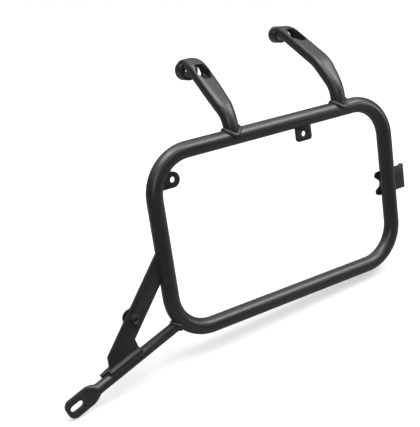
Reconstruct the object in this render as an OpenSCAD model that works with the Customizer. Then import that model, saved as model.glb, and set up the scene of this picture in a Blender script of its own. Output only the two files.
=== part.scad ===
// Left-hand pannier bracket for a motorcycle: a bent tube loop with two forged
// arms, a lower stay, a folded brace, two small tabs and a lock clip.
// +X points to the rear of the motorcycle, +Y inboard to the frame, +Z up.
// The origin is the middle of the front arm's bolt hole, on its mounting face.

/* [Loop] */
// Width of the loop over its tubes
loop_w = 371; // [300:1:440]
// Height of the loop over its tubes
loop_h = 239; // [200:1:300]
// Outer diameter of the loop tube
tube_d = 20; // [16:0.5:26]
// Bend radius of the loop corners at the tube's middle line
bend_r = 50; // [35:1:70]

/* [Arms] */
// Distance of the front arm in front of the loop's middle
front_arm_x = 61; // [30:1:90]
// Distance of the rear arm behind the loop's middle
rear_arm_x = 104; // [60:1:120]
// Width of an arm along its window
arm_w = 24; // [22:0.5:30]
// Depth of an arm along its window
arm_t = 16.5; // [14:0.5:20]
// Diameter of an arm where it stands on the loop
arm_root_d = 19; // [16:0.5:20]
// Thickness of the tongue at the end of an arm
tongue_t = 7; // [5:0.5:10]
// Width of the tongue at the end of an arm
tongue_w = 18; // [14:0.5:22]
// Diameter of the tool passage through an arm
window_d = 16; // [13:0.5:17]
// Straight foot of the front arm before its first bend
front_lift = 9; // [6:0.5:12]
// Slope of the front arm above the horizontal
front_slope = 42; // [38:0.5:45]
// Straight foot of the rear arm before its first bend
rear_lift = 14; // [11:0.5:17]
// Slope of the lower half of the rear arm
rear_low_slope = 50; // [47:0.5:53]
// Length of the lower half of the rear arm between its bends
rear_low_run = 19; // [16:0.5:24]
// Slope of the upper half of the rear arm
rear_slope = 30; // [28:0.5:33]

/* [Mounting eyes] */
// Diameter of the eye at the end of the front arm
front_eye_d = 25; // [22:0.5:30]
// Diameter of the eye at the end of the rear arm
rear_eye_d = 22; // [20:0.5:26]
// Thickness of the eye plate
eye_t = 5; // [4:0.5:8]
// Bolt hole through each eye
eye_bore_d = 8.5; // [6.5:0.1:10.5]
// Diameter of the shallow seat for the bolt head
eye_seat_d = 15; // [13:0.5:18]
// Depth of the shallow seat for the bolt head
eye_seat_depth = 1.5; // [0.5:0.25:2.5]
// Distance of the front eye's mounting face inboard of the loop
front_reach = 93; // [75:1:110]
// Height of the front eye above the loop's top tube
front_rise = 77.5; // [66:0.5:90]
// Distance of the rear eye's mounting face inboard of the loop
rear_reach = 120; // [105:1:135]
// Height of the rear eye above the loop's top tube
rear_rise = 95.5; // [86:0.5:105]

/* [Stay] */
// Outer diameter of the stay tube
stay_d = 12; // [10:0.5:15]
// Distance from the loop's front tube forward to the stay's slot
stay_reach = 138.5; // [118:0.5:160]
// Depth of the slot below the middle of the loop's bottom tube
stay_drop = 34.5; // [22:0.5:48]
// Slope of the stay below the horizontal
stay_slope = 19.5; // [17:0.5:22]
// Width of the flattened end
lug_w = 24; // [22:0.5:30]
// Thickness of the flattened end
lug_t = 4; // [3:0.5:6]
// Width of the slot in the flattened end
slot_w = 8.5; // [6.5:0.1:10.5]
// Length of the slot in the flattened end
slot_l = 17; // [12:0.5:22]

/* [Brace] */
// Thickness of the brace sheet
brace_t = 4; // [2.5:0.5:5]
// Slope of the brace below the horizontal
brace_slope = 51.3; // [48:0.1:54]
// Width of the brace
brace_w = 22; // [20:0.5:26]
// Distance from the brace's middle to the ear behind it
ear_gap = 8; // [6:0.5:14]
// Radius of the ear's round end
ear_r = 10.5; // [8:0.5:13]
// Thread bore of the weld nut on the brace
nut_bore_d = 6; // [5:0.5:6.5]
// Outer diameter of the weld nut
nut_d = 11; // [9:0.5:13]
// Height of the weld nut
nut_h = 4; // [3:0.5:6]

/* [Tabs] */
// Sheet thickness of both tabs
tab_t = 3; // [2:0.5:5]
// Width of the round front tab
front_tab_w = 19; // [16:0.5:22]
// Width of the square top tab
top_tab_w = 24; // [18:0.5:28]
// Length of the square top tab below the tube
top_tab_l = 18; // [14:0.5:22]
// Hole in both tabs
tab_bore_d = 7; // [5:0.5:8.5]

/* [Lock clip] */
// Height of the clip plate
clip_h = 33; // [26:1:40]
// Sheet thickness of the clip
clip_t = 2.5; // [1.5:0.5:4]
// Reach of the clip behind the loop tube
clip_reach = 26; // [18:1:34]
// Radius of the rolled lip
lip_r = 4.5; // [3:0.5:7]

/* [Welds] */
// Radius of the weld beads
bead_r = 2.1; // [1.5:0.1:3]
// Length of one ripple in a weld bead
bead_pitch = 3.2; // [2:0.1:5]

/* [Hidden] */

steel = "#2b2a2f";
weld_colour = "#232226";
tube_r = tube_d / 2;
half_w = (loop_w - tube_d) / 2;
half_h = (loop_h - tube_d) / 2;
arc_steps = 8;
section_sides = 24;
flatness = 0.62;
past = 1;

function lerp(a, b, k) = a + (b - a) * k;
function clamp01(k) = min(1, max(0, k));
function smooth(k) = let (c = clamp01(k)) c * c * (3 - 2 * c);
function sgn_pow(v, e) = sign(v) * pow(abs(v), e);
function unit(v) = v / norm(v);

// Every piece is drawn round the loop's middle and then moved so that the
// front bolt hole is at the origin.
module at_origin() {
    translate([front_arm_x, -front_reach, -half_h - front_rise]) children();
}

// Loop tube
module loop_corner() {
    translate([half_w - bend_r, 0, half_h - bend_r])
        rotate([90, 0, 0])
            rotate_extrude(angle = 90, $fn = 96) translate([bend_r, 0]) circle(d = tube_d);
}

module loop_side(length) {
    cylinder(d = tube_d, h = length, center = true, $fn = 64);
}

module loop_solid() {
    for (sx = [0, 1], sz = [0, 1])
        mirror([sx, 0, 0]) mirror([0, 0, sz]) loop_corner();
    for (side = [-1, 1]) {
        translate([side * half_w, 0, 0]) loop_side(2 * (half_h - bend_r));
        translate([0, 0, side * half_h]) rotate([0, 90, 0]) loop_side(2 * (half_w - bend_r));
    }
}

module loop_tube() {
    color(steel) at_origin() loop_solid();
}

// Skin swept along rings of points, closed at both ends or joined into a loop
module skin(rings, closed = false) {
    count = len(rings);
    sides = len(rings[0]);
    last = closed ? count - 1 : count - 2;
    walls = [
        for (i = [0:last], j = [0:sides - 1])
            let (k = (i + 1) % count, m = (j + 1) % sides)
            [i * sides + j, i * sides + m, k * sides + m, k * sides + j]
    ];
    ends = closed ? [] : [
        [for (j = [sides - 1:-1:0]) j],
        [for (j = [0:sides - 1]) (count - 1) * sides + j]
    ];
    polyhedron(points = [for (r = rings) each r], faces = concat(walls, ends), convexity = 6);
}

// An arm follows the line of its outboard face: up from the loop, over a first
// bend to its slope, and over a second bend to a tongue that dips to the eye.
// Each station is [inboard, up, heading].
first_bend_r = 46;
second_bend_r = 40;
knee_bend_r = 60;
tongue_dip = -10;
tongue_run = 12;
root_blend = 26;
tongue_blend = 22;
tongue_blend_from = 30;
front_crest = 2.5;
rear_crest = 0;

function arc_from(p, r, a, b, steps) = [
    for (i = [1:steps])
        let (h = lerp(a, b, i / steps))
        [p[0] + r * (sin(a) - sin(h)), p[1] + r * (cos(h) - cos(a)), h]
];

function ahead(p, run) = [p[0] + run * cos(p[2]), p[1] + run * sin(p[2]), p[2]];

// What sets one arm apart: straight foot, lower slope and its length, upper slope,
// distance and height of the eye, the eye's diameter and the crest above the eye
FRONT = [
    front_lift, front_slope, 0, front_slope, front_reach, half_h + front_rise, front_eye_d, front_crest
];
REAR = [
    rear_lift, rear_low_slope, rear_low_run, rear_slope, rear_reach, half_h + rear_rise, rear_eye_d,
    rear_crest
];
function lift_of(arm) = arm[0];
function low_slope_of(arm) = arm[1];
function low_run_of(arm) = arm[2];
function slope_of(arm) = arm[3];
function end_of(arm) = arm[4] - eye_t;
function rise_of(arm) = arm[5];
function eye_of(arm) = arm[6];
function crest_of(arm) = rise_of(arm) + eye_of(arm) / 2 + arm[7];

function arm_line(arm) =
    let (
        slope = slope_of(arm),
        foot = [-arm_root_d / 2, half_h, 90],
        bend1 = arc_from(ahead(foot, lift_of(arm)), first_bend_r, 90, low_slope_of(arm), arc_steps),
        knee = ahead(bend1[arc_steps - 1], low_run_of(arm)),
        bend2 = arc_from(knee, knee_bend_r, low_slope_of(arm), slope, arc_steps),
        top1 = bend2[arc_steps - 1],
        climb = crest_of(arm) - second_bend_r * (1 - cos(slope)) - top1[1],
        top2 = ahead(top1, climb / sin(slope)),
        bend3 = arc_from(top2, second_bend_r, slope, tongue_dip, arc_steps + 4),
        last = bend3[arc_steps + 3]
    )
    concat([foot], bend1, low_run_of(arm) > 0 ? concat([knee], bend2) : [],
        [lerp(top1, top2, 0.5), top2], bend3, [ahead(last, tongue_run), ahead(last, 2 * tongue_run)]);

// Section of the arm at a station: round at the root, a soft rectangle along
// the slope and a flat tongue at the end
function arm_ring(s, arm) =
    let (
        grow = smooth((s[0] + tube_r) / root_blend),
        shrink = smooth((s[0] - (end_of(arm) - tongue_blend_from)) / tongue_blend),
        w = lerp(lerp(arm_root_d, arm_w, grow), tongue_w, shrink),
        t = lerp(lerp(arm_root_d, arm_t, grow), tongue_t, shrink),
        e = lerp(1, flatness, grow),
        mid = [s[0] + sin(s[2]) * t / 2, s[1] - cos(s[2]) * t / 2]
    )
    [
        for (j = [0:section_sides - 1])
            let (
                a = 360 * j / section_sides,
                u = w / 2 * sgn_pow(cos(a), e),
                v = t / 2 * sgn_pow(sin(a), e)
            )
            [u, mid[0] - v * sin(s[2]), mid[1] + v * cos(s[2])]
    ];

module arm_skin(arm) {
    skin([for (s = arm_line(arm)) arm_ring(s, arm)]);
}

// The tool passage in line with the bolt hole
module tool_passage(arm) {
    translate([0, -tube_d, rise_of(arm)])
        rotate([-90, 0, 0]) cylinder(d = window_d, h = end_of(arm) + tube_d + past, $fn = 48);
}

module top_tube_cut() {
    translate([0, 0, half_h])
        rotate([0, 90, 0]) cylinder(d = tube_d, h = 4 * arm_w, center = true, $fn = 64);
}

module arm(arm) {
    difference() {
        arm_skin(arm);
        top_tube_cut();
        translate([-arm_w, end_of(arm), half_h]) cube([2 * arm_w, 3 * tongue_run, rise_of(arm)]);
        tool_passage(arm);
    }
}

module at_front_arm() {
    at_origin() translate([-front_arm_x, 0, 0]) children();
}

module at_rear_arm() {
    at_origin() translate([rear_arm_x, 0, 0]) children();
}

module front_arm() {
    color(steel) at_front_arm() arm(FRONT);
}

module rear_arm() {
    color(steel) at_rear_arm() arm(REAR);
}

// Mounting eyes
module eye(arm) {
    translate([0, end_of(arm) + eye_t, rise_of(arm)])
        rotate([90, 0, 0])
            difference() {
                cylinder(d = eye_of(arm), h = eye_t, $fn = 64);
                translate([0, 0, -past]) cylinder(d = eye_bore_d, h = eye_t + 2 * past, $fn = 48);
                translate([0, 0, eye_t - eye_seat_depth])
                    cylinder(d = eye_seat_d, h = eye_seat_depth + past, $fn = 48);
            }
}

module front_eye() {
    color(steel) at_front_arm() eye(FRONT);
}

module rear_eye() {
    color(steel) at_rear_arm() eye(REAR);
}

// Weld beads: a round bead with ripples along a line of points
function bead_frame(p, q, side) =
    let (t = unit(q - p), u = unit(cross(t, side)))
    [u, cross(u, t)];

function bead_ring(c, f, r) = [
    for (a = [0:60:300]) c + r * (cos(a) * f[0] + sin(a) * f[1])
];

bead_lift = 0.3;
ripple_steps = 3;
function ripple(i) = 1 - 0.14 * (0.5 + 0.5 * cos(360 * i / ripple_steps));
function bead_steps(length) = ripple_steps * max(2, round(length / bead_pitch));

module bead_loop(points, side, r) {
    n = len(points);
    skin([
        for (i = [0:n - 1])
            bead_ring(points[i], bead_frame(points[(i + n - 1) % n], points[(i + 1) % n], side),
                r * ripple(i))
    ], closed = true);
}

module bead_line(p, q, side, r) {
    n = bead_steps(norm(q - p));
    f = bead_frame(p, q, side);
    skin([
        for (i = [0:n])
            let (k = i / n, e = min(1, 0.35 + 3 * min(k, 1 - k) * norm(q - p) / 10))
            bead_ring(lerp(p, q, k), f, r * e * ripple(i))
    ]);
}

// The bead round an arm's root lies on the saddle where the arm meets the tube
module root_bead(arm) {
    r = arm_root_d / 2 + bead_r * bead_lift;
    steps = bead_steps(2 * PI * r);
    ring = tube_r + bead_r * bead_lift;
    difference() {
        bead_loop([
            for (i = [0:steps - 1])
                let (a = 360 * i / steps, y = r * sin(a))
                [r * cos(a), y, half_h + sqrt(max(ring * ring - y * y, 4))]
        ], [0, 0, 1], bead_r);
        top_tube_cut();
        translate([0, 0, half_h]) cylinder(d = arm_root_d, h = tube_d, $fn = 48);
    }
}

module front_arm_weld() {
    color(weld_colour) at_front_arm() root_bead(FRONT);
}

module rear_arm_weld() {
    color(weld_colour) at_rear_arm() root_bead(REAR);
}

// Fillet weld between the end of the tongue and the eye, where the eye backs it
eye_fillet = 2;

function tongue_point(arm, y, a, extra) =
    let (
        line = arm_line(arm),
        last = line[len(line) - 3],
        tall = tongue_t / cos(tongue_dip) / 2,
        mid = last[1] + (y - last[0]) * tan(tongue_dip) - tall
    )
    [
        (tongue_w / 2 + extra) * sgn_pow(cos(a), flatness), y,
        mid + (tall + extra) * sgn_pow(sin(a), flatness)
    ];

module eye_bead(arm) {
    y = end_of(arm);
    difference() {
        intersection() {
            skin([
                for (i = [0:section_sides - 1])
                    let (a = 360 * i / section_sides, b = eye_fillet * ripple(i))
                    [tongue_point(arm, y, a, 0), tongue_point(arm, y, a, b), tongue_point(arm, y - b, a, 0)]
            ], closed = true);
            translate([0, y, rise_of(arm)])
                rotate([90, 0, 0]) cylinder(d = eye_of(arm), h = 2 * eye_fillet, $fn = 64);
        }
        tool_passage(arm);
    }
}

module front_eye_weld() {
    color(weld_colour) at_front_arm() eye_bead(FRONT);
}

module rear_eye_weld() {
    color(weld_colour) at_rear_arm() eye_bead(REAR);
}

// Stay: a straight tube with a flattened, slotted end. Its middle line runs
// through the slot and up to the tube of the loop's lower front corner.
lug_tip = 13;
lug_root = 19;
shoulder = 11;
tip_r = 9;
stay_dir = [-cos(stay_slope), 0, -sin(stay_slope)];
stay_across = [sin(stay_slope), 0, -cos(stay_slope)];
corner_mid = [bend_r - half_w, 0, bend_r - half_h];
slot_at = [-half_w - stay_reach, 0, -half_h - stay_drop];

// Distance from the slot along the stay to the middle line of the loop's corner
corner_rel = slot_at - corner_mid;
corner_b = corner_rel * stay_dir;
stay_run = corner_b - sqrt(corner_b * corner_b - corner_rel * corner_rel + bend_r * bend_r);
stay_joint = slot_at - stay_run * stay_dir;

module at_slot() {
    at_origin() translate(slot_at) rotate([0, -stay_slope, 0]) children();
}

module lug_outline() {
    hull() {
        for (s = [-1, 1])
            translate([tip_r - lug_tip, s * (lug_w / 2 - tip_r)]) circle(r = tip_r, $fn = 48);
        translate([lug_root - 0.5, 0]) square([1, lug_w], center = true);
    }
}

module slot_shape() {
    linear_extrude(4 * lug_t, center = true) {
        for (s = [-1, 1]) translate([s * (slot_l - slot_w) / 2, 0]) circle(d = slot_w, $fn = 48);
        square([slot_l - slot_w, slot_w], center = true);
    }
}

module stay_rod() {
    at_slot()
        translate([lug_root + shoulder, 0, 0])
            rotate([0, 90, 0])
                cylinder(d = stay_d, h = stay_run - lug_root - shoulder, $fn = 48);
}

// The shoulder swells from the flat end to the round tube in two steps
module shoulder_slice(k) {
    w = lerp(lug_w, stay_d, k * k);
    t = lerp(lug_t, stay_d, sqrt(k));
    translate([lug_root + k * shoulder - 0.25, 0, 0])
        rotate([0, 90, 0]) linear_extrude(0.5) scale([w / 2, t / 2]) circle(r = 1, $fn = 32);
}

module shoulder_part(from, to) {
    hull() {
        if (from == 0) translate([lug_root - 0.5, 0, 0]) cube([0.5, lug_t, lug_w], center = true);
        else shoulder_slice(from);
        shoulder_slice(to);
    }
}

module stay_tube() {
    color(steel) difference() {
        union() {
            at_slot() rotate([90, 0, 0]) linear_extrude(lug_t, center = true) lug_outline();
            at_slot() shoulder_part(0, 0.45);
            at_slot() shoulder_part(0.45, 1);
            stay_rod();
        }
        at_slot() rotate([90, 0, 0]) slot_shape();
        at_origin() front_low_corner();
    }
}

module front_low_corner() {
    mirror([1, 0, 0]) mirror([0, 0, 1]) loop_corner();
}

// Bead on the line where a tube of radius r along dir meets the loop's corner
function joint_point(a, r, dir, across, tangent, big) =
    let (
        off = r * (cos(a) * across + sin(a) * [0, 1, 0]),
        p = off - (off * tangent) * tangent,
        d = dir - (dir * tangent) * tangent,
        b = p * d,
        c = p * p - big * big,
        s = (-b + sqrt(max(b * b - (d * d) * c, 0))) / (d * d)
    )
    stay_joint + off + s * dir;

module stay_weld() {
    radial = unit(stay_joint - corner_mid);
    tangent = cross(radial, [0, 1, 0]);
    r = stay_d / 2 + bead_r * bead_lift;
    steps = bead_steps(2 * PI * r);
    color(weld_colour) difference() {
        at_origin() bead_loop([
            for (i = [0:steps - 1])
                joint_point(360 * i / steps, r, stay_dir, stay_across, tangent, tube_r + bead_r * bead_lift)
        ], stay_dir, bead_r);
        at_origin() front_low_corner();
        stay_rod();
    }
}

// Brace: a flat strip from the loop's front tube down to the stay, shaped by
// points along and across it
brace_ahead = 33.5;
brace_above = 62.5;
brace_point = [-half_w - brace_ahead, 0, brace_above - half_h];
brace_up = 52;
nut_along = 27.5;
nut_across = 0;
heel_along = 48;
toe_along = 79;
heel_end = [60, 27];
toe_end = [99, 4];

// Places along and across the brace, seen from outboard
module at_brace() {
    at_origin() translate(brace_point) rotate([90, 180 - brace_slope, 0]) children();
}

module brace_outline() {
    polygon([
        [-brace_up, -brace_w / 2], [toe_along, -brace_w / 2], toe_end, heel_end,
        [heel_along, brace_w / 2], [-brace_up, brace_w / 2]
    ]);
}

module brace() {
    color(steel) difference() {
        at_brace() linear_extrude(brace_t, center = true) brace_outline();
        at_brace() translate([nut_along, nut_across, 0])
            cylinder(d = nut_bore_d, h = 2 * brace_t, center = true, $fn = 48);
        at_origin() loop_side_cut();
        stay_rod();
        below_stay();
    }
}

// Everything below the stay's middle line
module below_stay() {
    at_slot() translate([-loop_w, -loop_w, -loop_w]) cube([3 * loop_w, 2 * loop_w, loop_w]);
}

module loop_side_cut() {
    translate([-half_w, 0, 0]) loop_side(2 * half_h);
}

// The angle piece behind the brace: an upright leaf with the ear, folded over a
// foot that lies on the stay
ear_t = 3;
ear_bore_d = 10;
foot_from = 41;
foot_to = 96;
foot_nose = 5;
leaf_from = 66;
leaf_slope = 6;
leaf_front_h = 12;
leaf_rear_h = 14.5;
neck_front = [0.34, -0.55];
neck_rear = [-0.3, 0.48];

// Distance along the stay and height above it of the point below the nut
nut_at = brace_point + nut_along * [-cos(brace_slope), 0, -sin(brace_slope)]
    + nut_across * [sin(brace_slope), 0, -cos(brace_slope)];
nut_rel = nut_at - slot_at;
nut_run = -nut_rel * stay_dir;
nut_height = -nut_rel * stay_across - stay_d / 2;
ear_in = ear_gap + ear_t;

module at_stay_top() {
    at_slot() translate([0, 0, stay_d / 2]) children();
}

module ear_leaf_outline() {
    middle = [nut_run, nut_height];
    polygon([
        [leaf_from, 0], [foot_to, 0], [foot_to - leaf_slope, leaf_front_h],
        middle + ear_r * neck_front, middle + ear_r * neck_rear,
        [leaf_from + leaf_slope, leaf_rear_h]
    ]);
    translate(middle) circle(r = ear_r, $fn = 64);
}

module brace_ear() {
    color(steel) at_stay_top() difference() {
        union() {
            translate([0, ear_in, 0]) rotate([90, 0, 0]) linear_extrude(ear_t) ear_leaf_outline();
            linear_extrude(ear_t) polygon([
                [foot_from, brace_t / 2], [foot_to, brace_t / 2], [foot_to, ear_in],
                [leaf_from, ear_in], [foot_from, brace_t / 2 + foot_nose]
            ]);
        }
        translate([nut_run, ear_gap, nut_height])
            rotate([90, 0, 0]) cylinder(d = ear_bore_d, h = 6 * ear_t, center = true, $fn = 48);
    }
}

// Weld nut on the outboard face of the brace
module nut_body() {
    at_brace() translate([nut_along, nut_across, brace_t / 2]) cylinder(d = nut_d, h = nut_h, $fn = 48);
}

module brace_nut() {
    color(steel) difference() {
        nut_body();
        at_brace() translate([nut_along, nut_across, 0]) cylinder(d = nut_bore_d, h = 4 * nut_h, $fn = 48);
    }
}

module brace_nut_weld() {
    r = nut_d / 2 + bead_r * bead_lift / 2;
    steps = bead_steps(2 * PI * r);
    color(weld_colour) difference() {
        at_brace() translate([nut_along, nut_across, brace_t / 2])
            bead_loop([for (i = [0:steps - 1]) r * [cos(360 * i / steps), sin(360 * i / steps), 0]],
                [0, 0, 1], bead_r * 0.6);
        nut_body();
        at_brace() translate([nut_along, nut_across, -brace_t / 2])
            cylinder(r = 2 * nut_d, h = brace_t, $fn = 48);
    }
}

// Beads down both faces of the brace where it meets the loop
top_weld_high = -3;
top_weld_low = -31;

module brace_top_weld() {
    x = -half_w - sqrt(tube_r * tube_r - brace_t * brace_t / 4);
    color(weld_colour) difference() {
        at_origin() for (s = [-1, 1])
            bead_line([x, s * brace_t / 2, top_weld_high], [x, s * brace_t / 2, top_weld_low],
                [0, 1, 0], bead_r);
        at_origin() loop_side_cut();
        at_brace() translate([-2 * brace_up, -2 * brace_w, -brace_t / 2])
            cube([4 * brace_up, 4 * brace_w, brace_t]);
    }
}

// Heavy bead along the outboard face of the brace's foot on the stay, and a thin
// one along the edge of the folded foot behind it
foot_weld_from = 50;
fold_weld_from = 49;
fold_weld_drop = -0.5;

module brace_foot_weld() {
    color(weld_colour) difference() {
        at_stay_top() {
            bead_line([foot_weld_from, -brace_t / 2, 0], [foot_to, -brace_t / 2, 0],
                [0, 1, 0], bead_r * 1.7);
            bead_line([fold_weld_from, brace_t, fold_weld_drop], [foot_to, brace_t, fold_weld_drop],
                [0, 1, 0], bead_r * 0.6);
        }
        stay_rod();
        at_brace() translate([-brace_up, -2 * brace_w, -brace_t / 2])
            cube([4 * brace_up, 4 * brace_w, brace_t]);
        brace_ear();
    }
}

// Tabs inside the loop
front_tab_inset = 26.2;
front_tab_drop = 30.2;
front_tab_x = front_tab_inset - half_w;
front_tab_z = half_h - front_tab_drop;
top_tab_x = 43.5;
tab_corner_r = 4;

module tab_bore() {
    rotate([90, 0, 0]) cylinder(d = tab_bore_d, h = 4 * tab_t, center = true, $fn = 48);
}

module front_tab() {
    color(steel) difference() {
        at_origin() {
            translate([front_tab_x, 0, front_tab_z])
                rotate([90, 0, 0]) cylinder(d = front_tab_w, h = tab_t, center = true, $fn = 64);
            translate([-half_w, -tab_t / 2, front_tab_z - front_tab_w / 2])
                cube([front_tab_x + half_w, tab_t, front_tab_w]);
        }
        at_origin() translate([front_tab_x, 0, front_tab_z]) tab_bore();
        at_origin() mirror([1, 0, 0]) loop_corner();
        at_origin() loop_side_cut();
    }
}

top_tab_z = half_h - tube_r - top_tab_l / 2;

module top_tab_outline() {
    side = top_tab_w - 2 * tab_corner_r;
    translate([-top_tab_w / 2, tab_corner_r]) square([top_tab_w, top_tab_l + tube_r - tab_corner_r]);
    translate([-side / 2, 0]) square([side, tab_corner_r + past]);
    for (s = [-1, 1]) translate([s * side / 2, tab_corner_r]) circle(r = tab_corner_r, $fn = 48);
}

module top_tab() {
    color(steel) difference() {
        at_origin() translate([top_tab_x, 0, half_h - tube_r - top_tab_l])
            rotate([90, 0, 0]) linear_extrude(tab_t, center = true) top_tab_outline();
        at_origin() translate([top_tab_x, 0, top_tab_z]) tab_bore();
        at_origin() translate([0, 0, half_h]) rotate([0, 90, 0]) loop_side(loop_w);
    }
}

tab_bead_r = bead_r * 0.75;
tab_weld_short = 2;

// Inner edge of the upper front corner at a height
function corner_inner_x(z) = bend_r - half_w
    - sqrt(pow(bend_r - tube_r, 2) - pow(z - half_h + bend_r, 2));

module front_tab_weld() {
    low = front_tab_z - front_tab_w / 2 + tab_weld_short;
    high = front_tab_z + front_tab_w / 2 - tab_weld_short;
    color(weld_colour) difference() {
        at_origin() for (s = [-1, 1])
            bead_line([corner_inner_x(low), s * tab_t / 2, low],
                [corner_inner_x(high), s * tab_t / 2, high], [0, 1, 0], tab_bead_r);
        at_origin() mirror([1, 0, 0]) loop_corner();
        at_origin() loop_side_cut();
        at_origin() translate([-half_w, -tab_t / 2, 0]) cube([loop_w, tab_t, half_h]);
    }
}

module top_tab_weld() {
    side = top_tab_w / 2 - tab_weld_short;
    color(weld_colour) difference() {
        at_origin() for (s = [-1, 1])
            bead_line([top_tab_x - side, s * tab_t / 2, half_h - tube_r],
                [top_tab_x + side, s * tab_t / 2, half_h - tube_r], [0, 1, 0], tab_bead_r);
        at_origin() translate([0, 0, half_h]) rotate([0, 90, 0]) loop_side(loop_w);
        at_origin() translate([0, -tab_t / 2, 0]) cube([loop_w, tab_t, half_h]);
    }
}

// Lock clip: a flat plate on the inboard side of the rear tube, with two round
// lobes inside the loop and a lip rolled outboard behind it
clip_z = -8;
lobe_x = 4.5;
lobe_r = 8;
lip_turn = 200;
lip_start = tube_r + clip_reach - lip_r;
clip_weld_short = 4;
clip_weld_in = 0.6;

function arc_points(c, r, from, to, n) = [
    for (i = [0:n]) c + r * [cos(lerp(from, to, i / n)), sin(lerp(from, to, i / n))]
];

// The bent plate seen from above
module clip_section() {
    c = [lip_start, clip_t - lip_r];
    polygon(concat(
        [[-2 * lobe_r, 0], [-2 * lobe_r, clip_t]],
        arc_points(c, lip_r, 90, 90 - lip_turn, 20),
        arc_points(c, lip_r - clip_t, 90 - lip_turn, 90, 12)
    ));
}

// Its outline seen from outboard
module clip_face() {
    z = clip_h / 2 - lobe_r;
    far = lip_start + 2 * lip_r;
    polygon(concat(
        arc_points([-lobe_x, z], lobe_r, 90, 270, 16),
        arc_points([-lobe_x, -z], lobe_r, 90, 270, 16),
        [[far, -clip_h / 2], [far, clip_h / 2]]
    ));
}

module lock_clip() {
    color(steel) at_origin() translate([half_w, tube_r, clip_z]) intersection() {
        linear_extrude(2 * clip_h, center = true) clip_section();
        rotate([90, 0, 0]) linear_extrude(4 * lip_r, center = true) clip_face();
    }
}

module lock_clip_weld() {
    y = tube_r - clip_weld_in;
    side = sqrt(tube_r * tube_r - pow(y - clip_weld_in, 2));
    end = clip_h / 2 - clip_weld_short;
    color(weld_colour) difference() {
        at_origin() for (s = [-1, 1])
            bead_line([half_w + s * side, y, clip_z - end], [half_w + s * side, y, clip_z + end],
                [0, 1, 0], bead_r * 0.7);
        at_origin() mirror([1, 0, 0]) loop_side_cut();
        at_origin() translate([0, tube_r, -half_h]) cube([loop_w, loop_w, loop_h]);
    }
}

loop_tube();
front_arm();
rear_arm();
front_eye();
rear_eye();
front_arm_weld();
rear_arm_weld();
front_eye_weld();
rear_eye_weld();
stay_tube();
stay_weld();
brace();
brace_ear();
brace_nut();
brace_top_weld();
brace_foot_weld();
brace_nut_weld();
front_tab();
top_tab();
front_tab_weld();
top_tab_weld();
lock_clip();
lock_clip_weld();
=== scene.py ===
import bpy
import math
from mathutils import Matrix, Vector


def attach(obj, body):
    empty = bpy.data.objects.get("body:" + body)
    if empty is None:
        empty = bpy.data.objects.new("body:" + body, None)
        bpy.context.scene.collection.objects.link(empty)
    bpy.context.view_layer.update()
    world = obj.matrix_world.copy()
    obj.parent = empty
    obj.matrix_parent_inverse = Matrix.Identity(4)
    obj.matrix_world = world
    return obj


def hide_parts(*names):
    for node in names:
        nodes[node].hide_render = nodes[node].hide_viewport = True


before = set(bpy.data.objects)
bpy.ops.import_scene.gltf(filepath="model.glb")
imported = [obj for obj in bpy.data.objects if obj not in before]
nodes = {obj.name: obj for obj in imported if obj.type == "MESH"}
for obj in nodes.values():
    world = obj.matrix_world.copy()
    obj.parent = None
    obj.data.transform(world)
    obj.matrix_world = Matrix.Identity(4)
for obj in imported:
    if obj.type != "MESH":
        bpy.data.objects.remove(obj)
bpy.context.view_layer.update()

# %% [markdown]
# # A pannier bracket in satin black
# This bracket carries a side case on the left of a motorcycle. It is welded from
# bent tube, two forged arms, a flattened stay and some sheet steel, and then
# powder coated all over. Its exact solids come from the frame that the first lines
# load, so nothing has to be measured again. The lesson gives those solids what a
# drawing office leaves out: soft forged skins, rounded sheet edges, rippled welds,
# a cut thread, a coating, and a plain photo studio.

print("frame holds", len(nodes), "solids")

# %% [markdown]
# ## The camera
# The picture was taken from the outboard side, a little above and in front of the
# bracket. Parallel tubes of the loop run to vanishing points, and these fix the
# direction and the lens. The three rows below are the camera's right, down and
# forward directions in the bracket's own frame, so they become the columns of the
# camera's matrix with the signs that Blender wants.

# %% Place the camera
# The photograph's width and the lens's focal length, both in pixels
PHOTO_WIDTH = 420
FOCAL_PX = 845.69
SENSOR_MM = 36.0
NEAREST, FARTHEST = 0.01, 50.0
RIGHT = Vector((0.8389, -0.5256, -0.1414))
DOWN = Vector((-0.2622, -0.1625, -0.9512))
AHEAD = Vector((0.4770, 0.8350, -0.2742))
EYE_POINT = Vector((-0.5243, -0.9312, 0.1149))


def camera_matrix(right, down, ahead, place):
    turn = Matrix((right.normalized(), -down.normalized(), -ahead.normalized())).transposed()
    return Matrix.Translation(place) @ turn.to_4x4()


lens = bpy.data.cameras.new("studio_camera")
lens.sensor_fit = "HORIZONTAL"
lens.sensor_width = SENSOR_MM
lens.lens = FOCAL_PX / PHOTO_WIDTH * lens.sensor_width
lens.clip_start = NEAREST
lens.clip_end = FARTHEST
camera = bpy.data.objects.new("studio_camera", lens)
bpy.context.scene.collection.objects.link(camera)
camera.matrix_world = camera_matrix(RIGHT, DOWN, AHEAD, EYE_POINT)
bpy.context.scene.camera = camera
print("lens", round(lens.lens, 2), "mm")

# %% [markdown]
# ## Copies of the solids
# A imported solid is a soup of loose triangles, fine for physics but hard to shape.
# Each piece that needs a softer skin starts as a copy whose doubled points are
# merged, and the copy then stands for the solid. Working from the copy keeps every
# bolt hole exactly where the frame has it.

# %% Helpers that copy and select
MM = 0.001
SAME_POINT = 0.002 * MM


def only(piece):
    """Leave this piece alone selected and active."""
    bpy.ops.object.select_all(action="DESELECT")
    piece.select_set(True)
    bpy.context.view_layer.objects.active = piece


def merge_doubles(piece):
    only(piece)
    bpy.ops.object.mode_set(mode="EDIT")
    bpy.ops.mesh.select_all(action="SELECT")
    bpy.ops.mesh.remove_doubles(threshold=SAME_POINT)
    bpy.ops.object.mode_set(mode="OBJECT")


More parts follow.
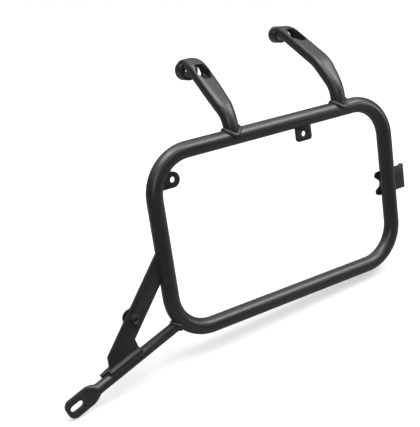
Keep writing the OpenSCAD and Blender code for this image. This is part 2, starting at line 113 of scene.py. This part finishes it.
def copy_of(node, name):
    """A merged copy of a solid that stands for it."""
    piece = bpy.data.objects.new(name, nodes[node].data.copy())
    bpy.context.scene.collection.objects.link(piece)
    merge_doubles(piece)
    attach(piece, "root")
    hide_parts(node)
    return piece


def apply_all(piece):
    only(piece)
    for modifier in list(piece.modifiers):
        bpy.ops.object.modifier_apply(modifier=modifier.name)


print("helpers ready, doubles merge below", SAME_POINT * 1e6, "micrometres")

# %% [markdown]
# ## Solids from an outline
# A pocket's cutter and a strip of sheet are both a flat outline pulled straight
# through. The outline is drawn in millimetres on a plane that can stand at any
# angle, because the arms slope. A primitive would need its corners moved one by
# one, so the corners are listed and the two ends and the sides are made from them.

# %% Pull an outline through
def closed_solid(name, points, faces):
    """A new object from its corners and faces, all of them turned outward."""
    mesh = bpy.data.meshes.new(name)
    mesh.from_pydata(points, [], faces)
    solid = bpy.data.objects.new(name, mesh)
    bpy.context.scene.collection.objects.link(solid)
    only(solid)
    bpy.ops.object.mode_set(mode="EDIT")
    bpy.ops.mesh.select_all(action="SELECT")
    bpy.ops.mesh.normals_make_consistent(inside=False)
    bpy.ops.object.mode_set(mode="OBJECT")
    return solid


def prism(name, outline, depth, stand):
    """A solid with a flat outline in mm, as deep as asked, placed by a matrix."""
    count = len(outline)
    points = [stand @ Vector((u * MM, v * MM, w)) for w in (0.0, depth) for u, v in outline]
    sides = [(i, (i + 1) % count, count + (i + 1) % count, count + i) for i in range(count)]
    ends = [tuple(range(count))[::-1], tuple(range(count, 2 * count))]
    return closed_solid(name, points, sides + ends)


def axes(across, up, place):
    """Matrix from its first two directions and its origin; the third follows."""
    out = across.cross(up)
    turn = Matrix((across, up, out)).transposed()
    return Matrix.Translation(place) @ turn.to_4x4()


# %% [markdown]
# ## The pockets in the forged arms
# Each arm has a window through which a socket reaches the bolt behind it. On the
# real forging the die leaves a pocket with six soft corners, and not a round bore,
# so the window is lit on some sides and dark on others. The place is found by a
# ray: it starts outboard, runs inboard just below the bolt and stops on the face.
# The cutter then stands square to the slope there.

# %% Measure the windows
# Corners of each window on the arm's face: across, and up the slope, in mm
WINDOWS = {
    "front_arm": ((-5, 13.5), (5.5, 12.5), (9.8, 0.5), (4.5, -12.5), (-5, -12), (-9.6, 1.5)),
    "rear_arm": ((-5.5, 16.5), (3.5, 16), (10, -4), (6, -14.5), (-1.5, -15.5), (-9.6, -4.5)),
}
# The bolt's place along X and Z, and the slope of the arm's face in degrees
BOLTS = {"front_arm": (0.0, 0.0, 42), "rear_arm": (0.165, 0.018, 30)}
POCKET = 12.5 * MM       # depth of the pocket below the face
PROBE = 9.5 * MM         # how far below the bolt the ray runs
CUTTER_LENGTH = 30 * MM
OUTBOARD = -0.2          # a place outboard of the whole bracket
print("windows with", [len(corners) for corners in WINDOWS.values()], "corners")

# %% Cut the pockets
def pocket_cutter(node, piece):
    """A six-sided pocket, square to the slope and in line with the bolt."""
    bolt_x, bolt_z, slope = BOLTS[node]
    climb = Vector((0.0, math.cos(math.radians(slope)), math.sin(math.radians(slope))))
    start = Vector((bolt_x, OUTBOARD, bolt_z - PROBE))
    hit, face, _, _ = piece.ray_cast(start, Vector((0, 1, 0)))
    middle = face + climb * PROBE / climb.z
    across = Vector((1.0, 0.0, 0.0))
    stand = axes(across, climb, middle - across.cross(climb) * POCKET)
    print(node, "face found" if hit else "face missed", [round(c, 4) for c in middle])
    return prism(node + "_pocket", WINDOWS[node], CUTTER_LENGTH, stand)


def combine(piece, tool, operation):
    """Cut the piece with the tool, or keep what both share; the tool is used up."""
    step = piece.modifiers.new("combine", "BOOLEAN")
    step.operation = operation
    step.solver = "EXACT"
    step.object = tool
    apply_all(piece)
    bpy.data.objects.remove(tool)
    return piece


# %% [markdown]
# ## Forged skins
# A forging has no sharp edge anywhere: metal pressed between dies keeps a radius of
# a millimetre or so. Bevels would have to follow the swept body, the pocket and the
# saddle at the foot. A voxel remesh rebuilds the whole skin in small even squares
# instead, and a smooth pass lets the corners melt a little.

# %% Melt the arms
FORGED = {"front_arm": "front_arm_forging", "rear_arm": "rear_arm_forging"}
ARM_VOXEL, ARM_ROUNDS = 0.5 * MM, 3


def melt(piece, voxel, rounds):
    skin = piece.modifiers.new("skin", "REMESH")
    skin.mode = "VOXEL"
    skin.voxel_size = voxel
    skin.use_smooth_shade = True
    soften = piece.modifiers.new("soften", "SMOOTH")
    soften.factor = 0.5
    soften.iterations = rounds
    apply_all(piece)
    bpy.ops.object.shade_smooth()
    print(piece.name, len(piece.data.polygons), "faces")
    return piece


arms = []
for node, name in FORGED.items():
    blank = copy_of(node, name)
    arm = combine(blank, pocket_cutter(node, blank), "DIFFERENCE")
    arms.append(melt(arm, ARM_VOXEL, ARM_ROUNDS))

# %% [markdown]
# ## Weld beads
# A bead is laid down hot and keeps the ripples of its puddle. The solids have those
# ripples, but thin and faceted. Each bead is first pushed outward, most at the foot
# of the brace, where the photograph shows a heavy weld, and then melted like the
# forgings, so that the ripples turn soft.

# %% Swell and melt the beads
WELDS = [name for name in nodes if name.endswith("_weld")]
BEAD_VOXEL, BEAD_ROUNDS = 0.42 * MM, 2
# How far each bead is pushed outward, in mm, and how far the others are
SPREAD = {"front_arm_weld": 0.8, "rear_arm_weld": 0.8, "brace_foot_weld": 2.0, "stay_weld": 0.6}
THIN_SPREAD = 0.15


def swell(piece, extra):
    """Push a bead's skin outward."""
    grow = piece.modifiers.new("grow", "DISPLACE")
    grow.mid_level = 0.0
    grow.strength = extra
    apply_all(piece)
    return piece


beads = []
for node in WELDS:
    bead = swell(copy_of(node, node + "_bead"), SPREAD.get(node, THIN_SPREAD) * MM)
    beads.append(melt(bead, BEAD_VOXEL, BEAD_ROUNDS))

# %% [markdown]
# ## Sheet parts
# Brace, ear and tabs are cut from plate, and the eyes and the nut have cut edges
# too. Blasting before the coat takes the burr off and the coat itself flows round
# the corners, so each edge shows a narrow soft highlight. Flat faces are first
# dissolved into whole panels, so that the bevel sees only true edges.

# %% A bevel that sees only true edges
# Edge radius of each piece in mm
PLATES = {
    "brace": 0.5, "brace_ear": 0.45, "front_tab": 0.45, "top_tab": 0.45,
    "front_eye": 0.6, "rear_eye": 0.6, "brace_nut": 0.4,
}
# Angles in degrees: flatter than the first is one panel, and sharper than the
# second is an edge to bevel; below the third the shading runs on
ONE_PANEL, TRUE_EDGE, SMOOTH_BELOW = 0.5, 35, 32


def round_edges(piece, radius):
    only(piece)
    bpy.ops.object.mode_set(mode="EDIT")
    bpy.ops.mesh.select_all(action="SELECT")
    bpy.ops.mesh.dissolve_limited(angle_limit=math.radians(ONE_PANEL))
    bpy.ops.object.mode_set(mode="OBJECT")
    edge = piece.modifiers.new("edge", "BEVEL")
    edge.width = radius
    edge.segments = 3
    edge.limit_method = "ANGLE"
    edge.angle_limit = math.radians(TRUE_EDGE)
    apply_all(piece)
    bpy.ops.object.shade_smooth_by_angle(angle=math.radians(SMOOTH_BELOW))
    print(piece.name, len(piece.data.polygons), "faces")
    return piece


# %% [markdown]
# ## Bolt eyes
# No light shows through the bolt hole of either eye, so the eyes are deeper than
# the solids have them. The points on the outboard side of each eye move outward
# together, which keeps the hole and the mounting face where the frame has them.

# %% Deepen the eyes and round all the plates
# The Y of each eye past which a point belongs to its outboard side
EYE_FACES = {"front_eye": -0.001, "rear_eye": 0.026}
EYE_EXTRA = 10 * MM


def deepen_eye(piece, inner, extra):
    """Move the outboard side of an eye outward, so that the eye becomes a boss."""
    for vertex in piece.data.vertices:
        if vertex.co.y < inner:
            vertex.co.y -= extra


plates = []
for node, radius in PLATES.items():
    piece = copy_of(node, node + "_plate")
    if node in EYE_FACES:
        deepen_eye(piece, EYE_FACES[node], EYE_EXTRA)
    plates.append(round_edges(piece, radius * MM))

# %% [markdown]
# ## The lock clip
# The clip is one strip of sheet. Seen from above it runs behind the rear tube, turns
# a little inboard and rolls into a hook. Seen from outboard its inner edge is wavy.
# Both outlines are drawn, pushed through each other and intersected.

# %% Draw the clip
CLIP_PLACE = Vector((0.2365, -0.083, -0.195))
CLIP_T = 2.5      # thickness of the sheet, in mm
CLIP_H = 33.0     # height of the clip, in mm
CLIP_START = -16.0
# Length in mm, turn in degrees and number of pieces of each stretch
CLIP_PATH = [(30, 0, 1), (8, 2, 4), (17, 0, 1), (12, 200, 22)]


def walk(steps):
    """Points and headings along a path of (length, turn, pieces)."""
    x, y, heading = CLIP_START, 0.0, 0.0
    path = [(x, y, heading)]
    for length, turn, pieces in steps:
        for _ in range(pieces):
            heading += math.radians(turn / pieces)
            x += length / pieces * math.cos(heading)
            y += length / pieces * math.sin(heading)
            path.append((x, y, heading))
    return path


def sheet_outline(path):
    right = [(x, y) for x, y, _ in path]
    left = [(x - CLIP_T * math.sin(h), y + CLIP_T * math.cos(h)) for x, y, h in path]
    return right + left[::-1]


def ring(cx, cy, r, start, end, count=12):
    turns = [math.radians(start + (end - start) * i / count) for i in range(count + 1)]
    return [(cx + r * math.cos(a), cy + r * math.sin(a)) for a in turns]


# Two lobes with a waist between them, a lower corner, and an end past the hook
LOBE_X, LOBE_R = -7.5, 5
WAIST_X, WAIST_R = -11.0, 6.6
CORNER_X, CORNER_R = 30, 6
PAST_HOOK = 60
TRIM_DEPTH = 0.12

half = CLIP_H / 2
wavy = (
    [(PAST_HOOK, half)]
    + ring(LOBE_X, half - LOBE_R, LOBE_R, 90, 250)
    + ring(WAIST_X, 0, WAIST_R, 55, -55)
    + ring(LOBE_X, LOBE_R - half, LOBE_R, 110, 270)
    + ring(CORNER_X, CORNER_R - half, CORNER_R, 270, 271, 1)
    + [(PAST_HOOK, -half)]
)
print("wavy outline with", len(wavy), "corners")

# %% Bend and trim the clip
strip = prism(
    "clip_hook", sheet_outline(walk(CLIP_PATH)),
    2 * CLIP_H * MM, Matrix.Translation(CLIP_PLACE - Vector((0, 0, CLIP_H * MM))),
)
trim = prism(
    "clip_trim", wavy, TRIM_DEPTH,
    axes(Vector((1, 0, 0)), Vector((0, 0, 1)), CLIP_PLACE + Vector((0, TRIM_DEPTH / 2, 0))),
)
combine(strip, trim, "INTERSECT")
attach(strip, "root")
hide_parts("lock_clip")
CLIP_EDGE = 0.5 * MM
plates.append(round_edges(strip, CLIP_EDGE))

# %% [markdown]
# ## The thread of the weld nut
# The solid has a plain bore at the thread's outer radius. The ridge of the thread is
# a thin wedge wound along that bore: each step turns a little and moves on by its
# share of the pitch.

# %% Wind the thread
NUT = Vector((-0.165194, -0.095, -0.255462))
# All in mm: the bore's radius, the pitch, and the length and shift of the winding
THREAD_R = 3.0
PITCH = 1.0
THREAD_LENGTH = 7.6
THREAD_SHIFT = 0.2
# The wedge's two feet stand this far inside the wall and this far from its middle
FOOT_SUNK, FOOT_APART = 0.12, 0.42
RIDGE = 0.54
STEPS = 28        # steps in one turn


def wind_thread(name):
    total = int(STEPS * THREAD_LENGTH / PITCH)
    foot = THREAD_R + FOOT_SUNK
    wedge = ((foot, -FOOT_APART), (THREAD_R - RIDGE, 0.0), (foot, FOOT_APART))
    points, faces = [], []
    for i in range(total + 1):
        turn = 2 * math.pi * i / STEPS
        shift = PITCH * i / STEPS + THREAD_SHIFT - THREAD_LENGTH / 2
        for r, w in wedge:
            at = Vector((r * math.cos(turn), shift + w, r * math.sin(turn)))
            points.append(NUT + at * MM)
    for i in range(total):
        for j in range(3):
            k = (j + 1) % 3
            faces.append((3 * i + j, 3 * i + k, 3 * i + 3 + k, 3 * i + 3 + j))
    faces += [(0, 1, 2), (3 * total + 2, 3 * total + 1, 3 * total)]
    thread = closed_solid(name, points, faces)
    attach(thread, "root")
    print(name, len(thread.data.polygons), "faces")
    return thread


plates.append(wind_thread("nut_thread"))

# %% [markdown]
# ## Tubes
# Bent tube is already the right shape in the solids, and only needs even shading
# across its facets. Faces that meet at more than a small angle keep their edge.

# %% Smooth the tubes
TUBE_SMOOTH_BELOW = 28


def smooth_tube(node):
    piece = copy_of(node, node + "_coated")
    only(piece)
    bpy.ops.object.shade_smooth_by_angle(angle=math.radians(TUBE_SMOOTH_BELOW))
    return piece


tubes = [smooth_tube(node) for node in ("loop_tube", "stay_tube")]
print("smoothed", [piece.name for piece in tubes])

# %% [markdown]
# The stay's round part looks a little stouter than its solid, so its skin is pushed
# out by a fraction of a millimetre, fading to nothing at the flattened end.

# %% Thicken the stay's round part
SLOT = Vector((-0.253, -0.093, -0.331))
STAY_SLOPE = math.radians(19.5)
STAY_UP = Vector((math.cos(STAY_SLOPE), 0.0, math.sin(STAY_SLOPE)))
STOUTER = 0.8 * MM
# Distances from the slot between which the extra grows from nothing to all, in m
FLAT_ENDS, ROUND_STARTS = 0.019, 0.032


def thicken_stay(piece, extra, start, end):
    for vertex in piece.data.vertices:
        along = (vertex.co - SLOT).dot(STAY_UP)
        away = vertex.co - SLOT - along * STAY_UP
        share = min(1.0, max(0.0, (along - start) / (end - start)))
        vertex.co += away.normalized() * extra * share


thicken_stay(tubes[1], STOUTER, FLAT_ENDS, ROUND_STARTS)
print("stay is", STOUTER / MM, "mm stouter in radius")

# %% [markdown]
# ## Shader maths in plain Python
# Procedural finishes need many small sums. Writing them as Python expressions keeps
# them readable: a wrapped socket knows how to add its own Math nodes, and one method
# makes every other kind of node from its type, its settings and its inputs.

# %% A socket that can be used in sums
class Sum:
    """Wraps a number socket, so that + - and * build Math nodes."""

    def __init__(self, bench, socket):
        self.bench = bench
        self.socket = socket

    def math(self, kind, first, second):
        made = self.bench.node("ShaderNodeMath", {"operation": kind}, {0: first, 1: second})
        return Sum(self.bench, made.outputs[0])

    def __add__(self, other):
        return self.math("ADD", self, other)

    def __radd__(self, other):
        return self.math("ADD", other, self)

    def __sub__(self, other):
        return self.math("SUBTRACT", self, other)

    def __rsub__(self, other):
        return self.math("SUBTRACT", other, self)

    def __mul__(self, other):
        return self.math("MULTIPLY", self, other)

    def __rmul__(self, other):
        return self.math("MULTIPLY", other, self)


# %% One way to add a node
class Bench:
    """The node tree of a material or a world, with one way to add a node."""

    def __init__(self, owner):
        owner.use_nodes = True
        self.owner = owner
        self.tree = owner.node_tree
        self.tree.nodes.clear()

    def node(self, kind, settings=None, inputs=None):
        made = self.tree.nodes.new(kind)
        for key, value in (settings or {}).items():
            setattr(made, key, value)
        for key, value in (inputs or {}).items():
            self.plug(made.inputs[key], value)
        return made

    def plug(self, socket, value):
        if isinstance(value, Sum):
            self.tree.links.new(value.socket, socket)
        elif isinstance(value, bpy.types.NodeSocket):
            self.tree.links.new(value, socket)
        else:
            socket.default_value = value

    def noise(self, place, scale, detail, rough=0.55):
        made = self.node(
            "ShaderNodeTexNoise", {"noise_dimensions": "3D"},
            {"Vector": place, "Scale": scale, "Detail": detail, "Roughness": rough},
        )
        return Sum(self, made.outputs[0])


print("bench ready")

# %% [markdown]
# ## The powder coat
# Powder coat is melted plastic dust: nearly black, satin, with a very fine grain
# and a slow wave called orange peel. This one has a little metal flake, which makes
# its highlights broad and slightly violet. Grain and peel go into the bump, slow
# clouds shift the colour and the gloss by a few per cent, and fine dust makes the
# gloss a little uneven.

# %% Mix the coat
# Noise scales: slow clouds, metal flake, orange peel and dust
CLOUD_SCALE, FLAKE_SCALE, PEEL_SCALE, DUST_SCALE = 14.0, 2600.0, 330.0, 60.0
BUMP_STRENGTH, BUMP_HEIGHT = 0.16, 0.0004
COAT = (0.021, 0.0205, 0.0235, 1.0)
COAT_DARK = (0.011, 0.0108, 0.0125, 1.0)
FLAKE = (0.075, 0.074, 0.083, 1.0)


def powder_coat(name, peel, grain, gloss, tone=0.0):
    """Peel and grain scale the bump, gloss is the roughness, tone darkens."""
    bench = Bench(bpy.data.materials.new(name))
    place = bench.node("ShaderNodeTexCoord").outputs["Object"]
    clouds = bench.noise(place, CLOUD_SCALE, 3.0)
    speck = bench.noise(place, FLAKE_SCALE, 1.0)
    wave = bench.noise(place, PEEL_SCALE, 2.0)
    dust = bench.noise(place, DUST_SCALE, 5.0, 0.65)
    shade = bench.node(
        "ShaderNodeMix", {"data_type": "RGBA"},
        {"Factor": clouds * 1.2 - 0.1 - tone, "A": COAT_DARK, "B": COAT},
    )
    flake_mask = bench.node(
        "ShaderNodeMapRange", {"interpolation_type": "SMOOTHSTEP"},
        {
            "Value": speck, "From Min": 0.60, "From Max": 0.74,
            "To Min": 0.0, "To Max": 0.55,
        },
    )
    flecked = bench.node(
        "ShaderNodeMix", {"data_type": "RGBA"},
        {"Factor": flake_mask.outputs[0], "A": shade.outputs["Result"], "B": FLAKE},
    )
    rough = gloss + (dust - 0.5) * 0.12 + (clouds - 0.5) * 0.08
    height = wave * 0.7 * peel + speck * 0.3 * grain
    bump = bench.node(
        "ShaderNodeBump", None,
        {"Height": height, "Strength": BUMP_STRENGTH, "Distance": BUMP_HEIGHT},
    )
    skin = bench.node("ShaderNodeBsdfPrincipled", None, {
        "Base Color": flecked.outputs["Result"],
        "Roughness": rough,
        "Metallic": 0.15,
        "Coat Weight": 0.35,
        "Coat Roughness": 0.30,
        "Normal": bump.outputs[0],
    })
    bench.node("ShaderNodeOutputMaterial", None, {"Surface": skin.outputs[0]})
    print("coat", name, len(bench.tree.nodes), "nodes")
    return bench.owner


# %% [markdown]
# Every piece went through the same oven, yet the coat lies differently on a drawn
# tube, on a forging, on plate and on a weld, so each gets its own mix of peel, grain
# and gloss.

# %% Coat the pieces
finishes = {
    "tube": powder_coat("satin_black_tube", peel=0.6, grain=1.0, gloss=0.37),
    "forging": powder_coat("satin_black_forging", peel=1.2, grain=1.0, gloss=0.43),
    "plate": powder_coat("satin_black_plate", peel=0.9, grain=1.2, gloss=0.37),
    "weld": powder_coat("satin_black_weld", peel=2.2, grain=1.2, gloss=0.46, tone=0.25),
}


def coat(pieces, finish):
    for piece in pieces:
        piece.data.materials.clear()
        piece.data.materials.append(finishes[finish])


coat(tubes, "tube")
coat(arms, "forging")
coat(plates, "plate")
coat(beads, "weld")
print("coated", len(tubes + arms + plates + beads), "pieces")

# %% [markdown]
# ## The table
# The bracket stands on white paper under wide soft lamps. The paper is tilted towards
# the camera, because the photograph's shadow runs close under the lower tube. It is
# kept small, so that it hides less from behind: from a low angle straight behind, its
# underside still covers the lower half. It must read as white while it keeps a faint
# shadow, so its material mixes some of its own light, which only the camera sees,
# with what the lamps give it. Mirrored in the coat it is kept dim, or the undersides
# of the tubes would turn grey.

# %% Lay the table
TABLE_SIZE = 1.9
TABLE_GAP = 0.001
TABLE_UP = Vector((-0.062, -0.350, 0.9345)).normalized()
lowest = min(
    TABLE_UP.dot(vertex.co) for solid in nodes.values() for vertex in solid.data.vertices
)
bpy.ops.object.select_all(action="DESELECT")
spot = Vector((0.05, -0.25, 0.0))
spot += TABLE_UP * (lowest - TABLE_GAP - TABLE_UP.dot(spot))
bpy.ops.mesh.primitive_plane_add(size=TABLE_SIZE, location=spot)
table = bpy.context.active_object
table.rotation_euler = TABLE_UP.to_track_quat("Z", "Y").to_euler()
table.name = "studio_table"
print("table lies", round(lowest, 4), "m along its normal")

# %% White paper
WHITE = (1.0, 1.0, 1.0, 1.0)
PAPER_GLOW = 0.42         # share of the paper's own light, for the camera
PAPER_DIMMING = 0.9       # share of the dim paper, for reflections
paper = Bench(bpy.data.materials.new("white_paper"))
ray = paper.node("ShaderNodeLightPath")
seen = Sum(paper, ray.outputs["Is Camera Ray"])
mirrored = Sum(paper, ray.outputs["Is Glossy Ray"])
matt = paper.node("ShaderNodeBsdfDiffuse", None, {"Color": (0.9, 0.9, 0.9, 1.0)})
dim = paper.node("ShaderNodeBsdfDiffuse", None, {"Color": (0.09, 0.09, 0.10, 1.0)})
glow = paper.node("ShaderNodeEmission", None, {"Color": WHITE, "Strength": 1.0})
blend = paper.node(
    "ShaderNodeMixShader", None,
    {0: seen * PAPER_GLOW, 1: matt.outputs[0], 2: glow.outputs[0]},
)
muted = paper.node(
    "ShaderNodeMixShader", None,
    {0: mirrored * PAPER_DIMMING, 1: blend.outputs[0], 2: dim.outputs[0]},
)
paper.node("ShaderNodeOutputMaterial", None, {"Surface": muted.outputs[0]})
table.data.materials.append(paper.owner)
print("paper", len(paper.tree.nodes), "nodes")

# %% [markdown]
# ## World and lamps
# The camera sees plain white all round. The light that the world really gives is a
# dome, strong overhead and almost nothing at the horizon, as in a light tent with
# dark sides. Four soft boxes draw the long highlights: one above, one at the rear for
# the upper sides of the tubes, and two weak ones, low at the rear and in front.

# %% World light
# Height on the dome from which it brightens and at which it is full, and the
# strengths there
DOME = {"From Min": 0.25, "From Max": 0.95, "To Min": 0.03, "To Max": 1.15}
world = bpy.data.worlds.new("studio_world")
bpy.context.scene.world = world
sky = Bench(world)
path = sky.node("ShaderNodeLightPath")
looked_at = Sum(sky, path.outputs["Is Camera Ray"])
through = Sum(sky, path.outputs["Is Transmission Ray"])
compass = sky.node("ShaderNodeTexCoord")
split = sky.node("ShaderNodeSeparateXYZ", None, {0: compass.outputs["Generated"]})
dome = sky.node(
    "ShaderNodeMapRange", {"interpolation_type": "SMOOTHSTEP"},
    {"Value": split.outputs["Z"], **DOME},
)
soft = sky.node(
    "ShaderNodeBackground", None, {"Color": WHITE, "Strength": dome.outputs[0]},
)
plain = sky.node("ShaderNodeBackground", None, {"Color": WHITE, "Strength": 1.0})
mix = sky.node("ShaderNodeMixShader", None, {
    0: looked_at.math("MAXIMUM", looked_at, through), 1: soft.outputs[0], 2: plain.outputs[0],
})
sky.node("ShaderNodeOutputWorld", None, {"Surface": mix.outputs[0]})
print("world", len(sky.tree.nodes), "nodes")

# %% Lamps
def soft_box(name, place, target, size, power, tint=(1.0, 1.0, 1.0)):
    """A soft lamp that faces the target; size in m and power in W."""
    lamp = bpy.data.lights.new(name, "AREA")
    lamp.shape = "RECTANGLE"
    lamp.size, lamp.size_y = size
    lamp.energy = power
    lamp.color = tint
    box = bpy.data.objects.new(name, lamp)
    bpy.context.scene.collection.objects.link(box)
    box.location = place
    facing = Vector(target) - Vector(place)
    box.rotation_euler = facing.to_track_quat("-Z", "Y").to_euler()
    print(name, power, "W")


MIDDLE = (0.0, -0.06, -0.18)
soft_box("top_soft_box", (-0.25, -0.35, 1.15), MIDDLE, (0.9, 0.8), 15.0)
soft_box("right_soft_box", (0.75, -0.75, 0.85), MIDDLE, (1.0, 0.6), 12.0)
soft_box("low_soft_box", (1.4, -0.9, 0.15), MIDDLE, (0.4, 0.8), 5.0)
soft_box("front_soft_box", (-1.3, -1.5, 0.5), MIDDLE, (0.6, 0.6), 5.0, (0.97, 0.98, 1.0))

# %% Colour management
bpy.context.scene.view_settings.view_transform = "Standard"
bpy.context.view_layer.update()
